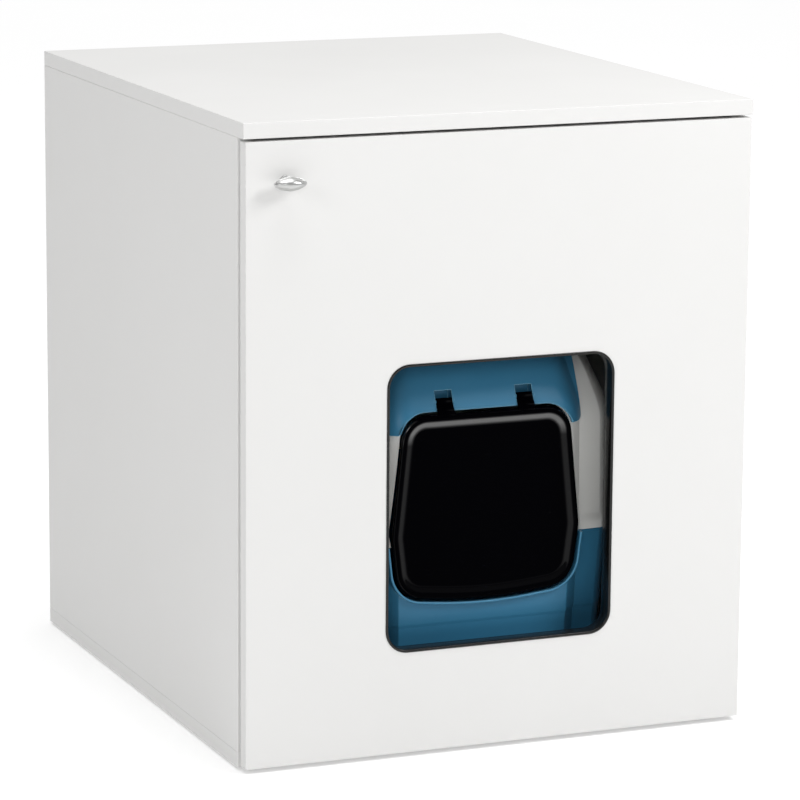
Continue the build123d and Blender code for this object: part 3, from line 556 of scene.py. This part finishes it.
def makeTrim(s):
    edge = rectOutline(-s["half"], s["half"], s["low"], s["high"], s["corner"], s["cornerSteps"])
    rings = [frontRing(insetOutline(edge, -outside), y) for outside, y in s["profile"]]
    piece = ringBody("openingTrim", rings, closed=True)
    smoothPiece(piece, s["smooth"])
    return piece


dressPiece(makeTrim(trimSet), "door", "black_trim", finishes["black_trim"], "opening_trim")


# oval knob: base disc, waisted stem, flare, rim and dome
knobSet = {
    "place": (-236.0, -310.75, 603.0),
    "points": 96, "smooth": 50,
    # half widths across and up, pointedness, and step out from the door
    "profile": [
        (7.0, 7.0, 2.0, 0.0), (7.0, 7.0, 2.0, 1.2), (6.8, 6.8, 2.0, 1.7), (6.3, 6.3, 2.0, 2.0),
        (5.0, 5.0, 2.0, 2.05), (4.6, 4.6, 2.0, 2.3), (4.3, 4.3, 2.0, 3.0), (4.2, 4.2, 2.0, 5.0),
        (4.4, 4.3, 2.0, 7.2), (5.6, 4.7, 2.0, 9.0), (8.6, 5.4, 1.95, 10.5), (12.8, 6.3, 1.85, 11.6),
        (16.2, 7.0, 1.75, 12.2), (17.2, 7.35, 1.7, 12.6), (17.5, 7.4, 1.7, 13.2), (17.3, 7.35, 1.7, 13.8),
        (16.8, 7.1, 1.7, 14.05), (16.2, 6.8, 1.7, 14.05), (16.0, 6.7, 1.7, 14.3), (15.7, 6.55, 1.7, 15.0),
        (14.9, 6.2, 1.7, 16.4), (13.4, 5.6, 1.7, 18.0), (11.2, 4.7, 1.7, 19.5), (8.4, 3.55, 1.75, 20.8),
        (5.4, 2.3, 1.8, 21.6), (2.4, 1.05, 1.9, 21.95),
    ],
}


def makeKnob(s):
    x0, y0, z0 = s["place"]
    rings = []
    for across, up, power, step in s["profile"]:
        ring = []
        for k in range(s["points"]):
            turn = 2 * math.pi * k / s["points"]
            c, n = math.cos(turn), math.sin(turn)
            x = across * math.copysign(abs(c) ** (2 / power), c)
            z = up * math.copysign(abs(n) ** (2 / power), n)
            ring.append(Vector((x0 + x, y0 - step, z0 + z)) * mm)
        rings.append(ring)
    piece = ringBody("ovalKnob", rings)
    smoothPiece(piece, s["smooth"])
    return piece


dressPiece(makeKnob(knobSet), "door", "chrome", finishes["chrome"], "door_knob")


# swing flap: wide rounded rim round a sunk panel, and two hinge tabs with barrels
flapSet = {
    "top": (92.6, 348.0, 28.0),
    "waist": (105.4, 222.0, 40.0),
    "foot": (97.6, 159.0, 32.0),
    "bottom": (0.0, 149.0, 500.0),
    # how far in from the outline, and where in depth, from the back of the panel round to its front
    "profile": [
        (16.0, -272.3), (10.5, -272.25), (9.2, -272.0), (8.2, -271.6), (7.2, -271.47), (2.4, -271.47),
        (1.1, -271.75), (0.3, -272.5), (0.0, -273.5), (0.0, -274.4), (0.3, -275.4), (1.1, -276.15),
        (2.4, -276.47), (4.5, -276.47), (6.3, -276.3), (7.8, -275.8), (9.2, -275.1), (10.8, -274.55),
        (12.8, -274.25), (15.5, -274.15), (19.0, -274.15),
    ],
    "cornerSteps": 14, "smooth": 45,
    "tabAt": 45.0, "tabHalf": 8.5, "tabRound": 0.6, "tabAngle": 60, "tabSegments": 3,
    "axis": (-264.7, 360.0),
    # a tab from the side: its front up to the barrel, the barrel, and its back down again
    "tabFront": [(-275.7, 340.0), (-275.7, 351.0), (-274.6, 353.2), (-270.4, 357.0)],
    "barrel": 3.7, "barrelFrom": 165, "barrelTo": -75, "barrelSteps": 12,
    "tabBack": [(-270.2, 350.2), (-272.0, 347.0), (-272.0, 340.0)],
}


def flapOutline(grow, s=flapSet):
    sides = [s["foot"], s["waist"], s["top"]]
    corners = [s["bottom"]] + sides + [(-x, z, r) for x, z, r in reversed(sides)]
    return insetOutline(roundOutline(corners, s["cornerSteps"]), -grow)


def makeFlap(s):
    panel = ringBody("swingFlap", [frontRing(flapOutline(-inset), y) for inset, y in s["profile"]])
    axisY, axisZ = s["axis"]
    barrel = []
    for k in range(s["barrelSteps"] + 1):
        turn = math.radians(s["barrelFrom"] + (s["barrelTo"] - s["barrelFrom"]) * k / s["barrelSteps"])
        barrel.append((axisY + s["barrel"] * math.cos(turn), axisZ + s["barrel"] * math.sin(turn)))
    profile = s["tabFront"] + barrel + s["tabBack"]
    tab = sideBlock("hingeTab", profile, s["tabAt"] - s["tabHalf"], s["tabAt"] + s["tabHalf"])
    roundEdges(tab, s["tabRound"], s["tabAngle"], s["tabSegments"])
    pick(tab)
    bpy.ops.object.duplicate(linked=False)
    other = bpy.context.object
    bpy.ops.transform.translate(value=(-2 * s["tabAt"] * mm, 0, 0))
    bpy.ops.object.transform_apply(location=True)
    joinPieces(panel, tab, other)
    smoothPiece(panel, s["smooth"])
    return panel


dressPiece(makeFlap(flapSet), "flap", "smoked_flap", finishes["smoked_flap"], "entry_flap")


# plan of the litter box at one inset: flat bay in front, rounded shoulders, round rear corners
boxSet = {
    "half": 190.0, "front": -274.25, "rear": 195.75, "corner": 92.0,
    "bay": 97.0, "bayDepth": 16.0, "bayShift": 0.414,
    # the bay's edge is crisp on the pan and soft on the visor: blend below and above these heights
    "blend": (1.0, 13.0), "blendFrom": 215.0, "blendTo": 330.0, "blendSteps": 6,
    "shoulder": 138.0, "shoulderShift": 0.6, "fall": 2.0, "pull": 30.0, "drop": 6.0, "sideStart": 140.0,
    "shoulderSteps": 14, "cornerSteps": 12,
}


def boxPlan(inset, z, s=boxSet):
    half, front = s["half"] - inset, s["front"] + inset
    crease = s["bay"] - s["bayShift"] * inset
    share = min(1.0, max(0.0, (z - s["blendFrom"]) / (s["blendTo"] - s["blendFrom"])))
    blend = s["blend"][0] + (s["blend"][1] - s["blend"][0]) * share
    side = []
    for k in range(s["blendSteps"] + 1):
        t = k / s["blendSteps"]
        over = blend * math.sqrt(0.5) * t ** 2
        side.append((crease - blend * (1 - t) ** 2 + over, front + over))
    side.append((crease + s["bayDepth"], front + s["bayDepth"]))
    first = Vector((s["shoulder"] - s["shoulderShift"] * inset, front + s["bayDepth"] + s["fall"]))
    pull = Vector((half - s["pull"], first.y + s["drop"]))
    last = Vector((half, s["front"] + s["sideStart"]))
    for k in range(s["shoulderSteps"] + 1):
        t = k / s["shoulderSteps"]
        side.append(tuple(first * (1 - t) ** 2 + pull * 2 * t * (1 - t) + last * t ** 2))
    corner = s["corner"] - inset
    rearX, rearY = s["half"] - s["corner"], s["rear"] - s["corner"]
    for k in range(s["cornerSteps"] + 1):
        turn = math.pi / 2 * k / s["cornerSteps"]
        side.append((rearX + corner * math.cos(turn), rearY + corner * math.sin(turn)))
    return side + [(-x, y) for x, y in reversed(side)]


def boxRing(z, inset):
    return [Vector((x, y, z)) * mm for x, y in boxPlan(inset, z)]


# the hood's outline as height and inset, from its rim over a blended shoulder to a rounded crown
domeSet = {
    "foot": 212.0,
    "top": 404.0,
    "levels": [
        (212.0, 0.0), (268.0, 0.5), (318.0, 0.95), (324.0, 1.0), (331.0, 1.5), (338.0, 2.65), (345.0, 4.7),
        (352.0, 7.4), (360.0, 11.0), (372.0, 16.5), (380.0, 20.2), (385.0, 22.8), (390.0, 26.0),
        (395.0, 30.2), (399.0, 35.2), (402.0, 41.0), (403.5, 46.0), (404.0, 51.0),
    ],
}


def domeRings(grow, lowest):
    rings = []
    for z, inset in domeSet["levels"]:
        if z >= lowest:
            lift = grow * (z - domeSet["foot"]) / (domeSet["top"] - domeSet["foot"])
            rings.append(boxRing(z + lift, inset - grow))
    return rings


# how deep the hood's flat front lies at one height
def frontDepth(z, grow):
    levels = domeSet["levels"]
    for (lowZ, lowInset), (highZ, highInset) in zip(levels, levels[1:]):
        if lowZ <= z <= highZ:
            share = (z - lowZ) / (highZ - lowZ)
            return boxSet["front"] + lowInset + (highInset - lowInset) * share - grow
    return boxSet["front"] - grow


# blue pan: drafted tub with a stacking step, a notch for the flap with a bead, and two latch ledges
panSet = {
    "floor": 19.0, "rim": 212.0, "draft": 12.0, "wall": 2.5,
    # outside: height over the floor and inset, then fall from the rim and inset
    "base": [(0.0, 16.0), (0.4, 13.6), (1.6, 12.4), (3.5, 11.9)],
    "lip": [(1.2, 0.05), (0.3, 0.25), (0.0, 0.7)],
    # stacking step: height from its middle and share of its depth, between two plain levels
    "step": 126.0, "stepDepth": 0.9, "stepRound": [(-2.2, 1.0), (-0.8, 0.8), (0.8, 0.1)], "stepEnd": 2.2,
    "lower": 70.0, "upper": 170.0,
    # inside: fall from the rim and how much thinner the wall is, a plain level, then height over the
    # floor and inset beyond the wall, first along the draft and then at the floor
    "mouth": [(0.0, 0.6), (0.4, 0.1), (1.4, 0.0)], "inner": 120.0,
    "bend": [(8.0, 0.0), (5.0, 0.8)], "bottom": [(3.6, 2.6), (3.0, 6.0)],
    # room round the flap, the cut's two depths, and the bead as distance from the flap and depth
    "notch": 3.5, "notchNear": -300, "notchFar": -250,
    "bead": [
        (3.5, -254.0), (3.5, -274.5), (3.7, -275.0), (4.2, -275.3), (4.8, -275.4), (5.4, -275.25),
        (5.85, -274.85), (6.0, -274.3), (6.0, -254.0),
    ],
    "ledge": {
        "out": 193.5, "root": 187.5, "half": 15.0, "middle": -39.25, "low": 196.0, "high": 202.0,
        "round": 1.0, "angle": 40,
    },
    "smooth": 18,
}


def makePan(s):
    def draft(z):
        return s["draft"] * (s["rim"] - z) / (s["rim"] - s["floor"])

    low, rim, wall = s["floor"], s["rim"], s["wall"]
    step, deep = s["step"], s["stepDepth"]
    outside = [(low + up, inset) for up, inset in s["base"]]
    outside.append((s["lower"], draft(s["lower"]) + deep / 2))
    outside += [(step + up, draft(step) + deep * share) for up, share in s["stepRound"]]
    outside += [(z, draft(z)) for z in (step + s["stepEnd"], s["upper"])]
    outside += [(rim - fall, inset) for fall, inset in s["lip"]]
    inside = [(rim - fall, wall - thin) for fall, thin in s["mouth"]]
    inside.append((s["inner"], draft(s["inner"]) + wall))
    inside += [(low + up, draft(low + up) + wall + more) for up, more in s["bend"]]
    inside += [(low + up, draft(low) + wall + more) for up, more in s["bottom"]]
    pan = ringBody("litterPan", [boxRing(z, inset) for z, inset in outside + inside])
    cutWith(pan, frontBlock(flapOutline(s["notch"]), s["notchNear"], s["notchFar"]))
    bead = ringBody("notchBead", [frontRing(flapOutline(grow), y) for grow, y in s["bead"]], closed=True)
    trimAt(bead, rim)
    ledge = s["ledge"]
    near, far = ledge["middle"] - ledge["half"], ledge["middle"] + ledge["half"]
    ledges = []
    for side in (-1, 1):
        profile = [(near, ledge["low"]), (far, ledge["low"]), (far, ledge["high"]), (near, ledge["high"])]
        block = sideBlock("latchLedge", profile, side * ledge["root"], side * ledge["out"])
        roundEdges(block, ledge["round"], ledge["angle"])
        ledges.append(block)
    joinPieces(pan, bead, *ledges)
    smoothPiece(pan, s["smooth"])
    return pan


dressPiece(makePan(panSet), "cabinet", "blue_plastic", finishes["blue_plastic"], "litter_pan")


# grey hood: domed shell with a tongue inside the pan, an entrance and four latch lugs
hoodSet = {
    "wall": 2.5, "wallFrom": 230.0, "wallFoot": 218.0,
    # tongue inside the pan: height and inset
    "tongue": [
        (215.0, 5.3), (206.5, 5.3), (206.0, 4.8), (206.0, 3.8), (206.5, 3.3), (212.0, 3.3), (212.0, 0.4),
    ],
    # front foot: height and how far it flares out, from nothing at the side to its full reach in front
    "foot": [
        (211.0, 3.6), (211.2, 4.2), (212.2, 4.5), (217.0, 4.3), (221.0, 3.2), (225.0, 1.2), (228.0, 0.2),
    ],
    "seat": 212.05, "flareFrom": -180.0, "flareFull": -240.0,
    # room round the flap, and more of it above for the swing
    "entrance": 0.5, "entranceAbove": 300.0, "entranceLift": 2.5,
    # each cut starts in front of the hood and ends at its own depth
    "cutNear": -300, "entranceFar": -225, "windowFar": -228, "tongueFar": -258,
    "window": (-68.0, 68.0, 334.0, 386.0), "windowRound": 4.0,
    "tongueBreak": (-113.8, 113.8, 195.0, 212.0),
    "lug": {
        "root": 188.0, "out": 201.0, "axis": 238.0, "half": 5.0, "thick": 8.0, "span": 45.0,
        "middle": -39.25, "steps": 8, "round": 0.6, "angle": 50,
    },
    "smooth": 18,
}


# one lug: straight at the hood, round at its end
def makeLug(s, side, end):
    place = s["middle"] + end * s["span"] / 2
    centre = side * (s["out"] - s["half"])
    outline = [(side * s["root"], s["axis"] - s["half"])]
    for k in range(s["steps"] + 1):
        turn = math.pi * (k / s["steps"] - 0.5)
        outline.append((centre + side * s["half"] * math.cos(turn), s["axis"] + s["half"] * math.sin(turn)))
    outline.append((side * s["root"], s["axis"] + s["half"]))
    depths = (place - s["thick"] / 2, place + s["thick"] / 2)
    lug = ringBody("latchLug", [[Vector((x, y, z)) * mm for x, z in outline] for y in depths])
    roundEdges(lug, s["round"], s["angle"])
    return lug


def makeHood(s):
    inner = list(reversed(domeRings(-s["wall"], s["wallFrom"])))
    inner.append(boxRing(s["wallFoot"], s["wall"]))
    tongue = [boxRing(z, inset) for z, inset in s["tongue"]]
    foot = []
    for z, flare in s["foot"]:
        ring = boxRing(max(z, s["seat"]), 0.0)
        for point in ring:
            share = (s["flareFrom"] - point.y / mm) / (s["flareFrom"] - s["flareFull"])
            share = min(1.0, max(0.0, share))
            point.y -= flare * share * mm
            point.z -= max(0.0, s["seat"] - z) * share * mm
        foot.append(ring)
    hood = ringBody("hoodShell", inner + tongue + foot + domeRings(0.0, s["wallFrom"]))
    entrance = flapOutline(s["entrance"])
    for point in entrance:
        if point.y > s["entranceAbove"]:
            point.y += s["entranceLift"]
    cutWith(hood, frontBlock(entrance, s["cutNear"], s["entranceFar"]))
    cutWith(hood, frontBlock(rectOutline(*s["window"], s["windowRound"]), s["cutNear"], s["windowFar"]))
    cutWith(hood, frontBlock(rectOutline(*s["tongueBreak"]), s["cutNear"], s["tongueFar"]))
    joinPieces(hood, *[makeLug(s["lug"], side, end) for side in (-1, 1) for end in (-1, 1)])
    smoothPiece(hood, s["smooth"])
    return hood


dressPiece(makeHood(hoodSet), "cabinet", "grey_plastic", finishes["grey_plastic"], "hood_shell")


# blue visor: skin over the hood's front, arched round the flap, with a sunk field and two hinge pockets
visorSet = {
    "gap": 0.2, "skin": 2.5, "skinFrom": 318.0,
    "half": 113.0, "low": 329.0, "high": 430.0, "corner": 6.0, "cornerSteps": 6,
    # each cut starts in front of the visor and ends at its own depth
    "cutNear": -300, "rear": -143.0, "archFar": -225, "fieldFar": -190, "pocketFar": -235,
    "arch": 3.0, "round": 0.5, "angle": 35, "smooth": 18,
    # rounded rim along the arch: distance from the flap's outline and step out of the skin
    "rim": [(2.9, 2.4), (2.9, 0.0), (3.05, -0.35), (3.5, -0.5), (4.0, -0.35), (4.2, 0.1), (4.2, 2.4)],
    "rimFrom": 330.8,
    # sunk field: corners across and up with their radius, and its depth
    "field": [
        (-75.0, 377.0, 7.0), (-30.0, 386.0, 60.0), (30.0, 386.0, 60.0), (75.0, 377.0, 7.0),
        (75.0, 440.0, 7.0), (-75.0, 440.0, 7.0),
    ],
    "fieldDepth": 1.2, "fieldSteps": 8, "fieldReach": 3,
    "pocketAt": 45.0, "pocketHalf": 9.5, "pocketLow": 345.0, "pocketTop": 371.0, "pocketWall": 2.0,
    # roof and cheeks start a little behind the skin's face
    "pocketRear": (-254.0, 356.0), "roofBehind": 0.2, "roofSlope": 0.8,
    "cheekLow": 353.0, "cheekRear": -260.0, "cheekBehind": 0.3, "cheekLap": 0.5,
    "axis": (-264.7, 360.0), "bar": 2.0, "barSteps": 16,
}


# a skin of the hood's form between two distances from it
def domeSkin(name, s, inner, outer):
    return ringBody(name, list(reversed(domeRings(inner, s["skinFrom"]))) + domeRings(outer, s["skinFrom"]))


def pocketBlock(s, side):
    middle, half = side * s["pocketAt"], s["pocketHalf"]
    outline = rectOutline(middle - half, middle + half, s["pocketLow"], s["pocketTop"])
    return frontBlock(outline, s["cutNear"], s["pocketFar"])


# inside of the pockets: roof with an upright back, two cheeks and the bar that the flap hangs on
def makePockets(s):
    outer = s["gap"] + s["skin"]
    half, top, wall = s["pocketHalf"], s["pocketTop"], s["pocketWall"]
    rearY, rearZ = s["pocketRear"]
    topY = frontDepth(top, outer) + s["roofBehind"]
    cheekY = frontDepth(s["cheekLow"], outer) + s["cheekBehind"]
    roof = [
        (topY, top), (topY + s["roofSlope"], top + wall), (rearY + wall, top + wall),
        (rearY + wall, rearZ), (rearY, rearZ), (rearY, top),
    ]
    cheek = [
        (cheekY, s["cheekLow"]), (topY, top + s["cheekLap"]), (rearY + wall, top + wall),
        (rearY + wall, rearZ), (s["cheekRear"], s["cheekLow"]),
    ]
    axisY, axisZ = s["axis"]
    bar = []
    for k in range(s["barSteps"]):
        turn = 2 * math.pi * k / s["barSteps"]
        bar.append((axisY + s["bar"] * math.cos(turn), axisZ + s["bar"] * math.sin(turn)))
    pieces = []
    for side in (-1, 1):
        left, right = side * s["pocketAt"] - half, side * s["pocketAt"] + half
        pieces.append(sideBlock("pocketRoof", roof, left - wall, right + wall))
        pieces.append(sideBlock("pocketCheek", cheek, left - wall, left))
        pieces.append(sideBlock("pocketCheek", cheek, right, right + wall))
        pieces.append(sideBlock("hingeBar", bar, left - wall, right + wall))
    return pieces


def makeVisor(s):
    outer, near = s["gap"] + s["skin"], s["cutNear"]
    half, low, high, corner = s["half"], s["low"], s["high"], s["corner"]
    visor = domeSkin("hoodVisor", s, s["gap"], outer)
    edge = roundOutline(
        [(half, low, corner), (half, high, 0), (-half, high, 0), (-half, low, corner)], s["cornerSteps"]
    )
    cutWith(visor, frontBlock(edge, near, s["rear"]), "INTERSECT")
    cutWith(visor, frontBlock(flapOutline(s["arch"]), near, s["archFar"]))
    field = domeSkin("fieldCutter", s, outer - s["fieldDepth"], outer + s["fieldReach"])
    cutWith(field, frontBlock(roundOutline(s["field"], s["fieldSteps"]), near, s["fieldFar"]), "INTERSECT")
    cutWith(visor, field)
    for side in (-1, 1):
        cutWith(visor, pocketBlock(s, side))
    roundEdges(visor, s["round"], s["angle"])
    rings = []
    for grow, y in s["rim"]:
        rings.append([Vector((p.x, frontDepth(p.y, outer) + y, p.y)) * mm for p in flapOutline(grow)])
    rim = ringBody("archRim", rings, closed=True)
    trimAt(rim, s["rimFrom"], keepBelow=False)
    for side in (-1, 1):
        cutWith(rim, pocketBlock(s, side))
    joinPieces(visor, rim, *makePockets(s))
    smoothPiece(visor, s["smooth"])
    return visor


dressPiece(makeVisor(visorSet), "cabinet", "blue_plastic", finishes["blue_plastic"], "hood_visor")


# pale floor, lit a little from within so that it stays white far off
floorSet = {
    "size": 40, "dark": (0.74, 0.74, 0.74), "light": (0.77, 0.77, 0.77), "glow": 0.27, "rough": 0.9,
    "patch": 0.6, "contrast": 1.0,
}


def makeFloor(s):
    startFresh()
    bpy.ops.mesh.primitive_plane_add(size=s["size"])
    floor = bpy.context.object
    floor.name = "studioFloor"
    paper = bpy.data.materials.new("floorPaper")
    paper.use_nodes = True
    tree = paper.node_tree
    shader = tree.nodes["Principled BSDF"]
    patches = placeGroup(tree, softPatches, Scale=s["patch"], Contrast=s["contrast"])
    colour = mixColours(tree, patches.outputs["Mask"], s["dark"], s["light"])
    tree.links.new(colour, shader.inputs["Base Color"])
    shader.inputs["Roughness"].default_value = s["rough"]
    shader.inputs["Emission Color"].default_value = (1, 1, 1, 1)
    shader.inputs["Emission Strength"].default_value = s["glow"]
    floor.data.materials.append(paper)
    return floor


floor = makeFloor(floorSet)
print("floor made")


# the room is white to the camera and dimmer as a light, so that the soft boxes shape the object
lightSet = {
    "seen": 1.0,
    "fill": 0.22,
    "boxes": {
        "leftBox": {"place": (-3.6, -1.8, 2.0), "aim": (0.0, -0.2, 0.3), "size": 1.4, "power": 26},
        "nearBox": {"place": (-1.3, -2.9, 1.5), "aim": (0.1, -0.27, 0.28), "size": 0.8, "power": 10.5},
        "rightBox": {"place": (1.45, -1.6, 1.95), "aim": (0.2, -0.3, 0.55), "size": 1.0, "power": 32},
    },
    "overhead": {"place": (0, 0, 4), "power": 2.35, "spread": 40},
}


def addRoom(s):
    world = bpy.data.worlds.new("studioRoom")
    bpy.context.scene.world = world
    world.use_nodes = True
    tree = world.node_tree
    path = newNode(tree, "ShaderNodeLightPath", "path")
    gain = mathNode(tree, "MULTIPLY", path.outputs["Is Camera Ray"], s["seen"] - s["fill"])
    strength = mathNode(tree, "ADD", gain, s["fill"])
    tree.nodes["Background"].inputs["Color"].default_value = (1, 1, 1, 1)
    tree.links.new(strength, tree.nodes["Background"].inputs["Strength"])


def addLight(name, s):
    startFresh()
    aim = Vector(s["aim"]) - Vector(s["place"])
    turn = aim.to_track_quat("-Z", "Y").to_euler()
    bpy.ops.object.light_add(type="AREA", location=s["place"], rotation=turn)
    light = bpy.context.object
    light.name = name
    light.data.shape = "DISK"
    light.data.size = s["size"]
    light.data.energy = s["power"]
    light.visible_camera = False


def addOverhead(s):
    startFresh()
    bpy.ops.object.light_add(type="SUN", location=s["place"])
    light = bpy.context.object
    light.name = "overhead"
    light.data.energy = s["power"]
    light.data.angle = math.radians(s["spread"])


addRoom(lightSet)
for lightName, lightValues in lightSet["boxes"].items():
    addLight(lightName, lightValues)
addOverhead(lightSet["overhead"])
bpy.context.scene.view_settings.view_transform = "Standard"
print("lights set")
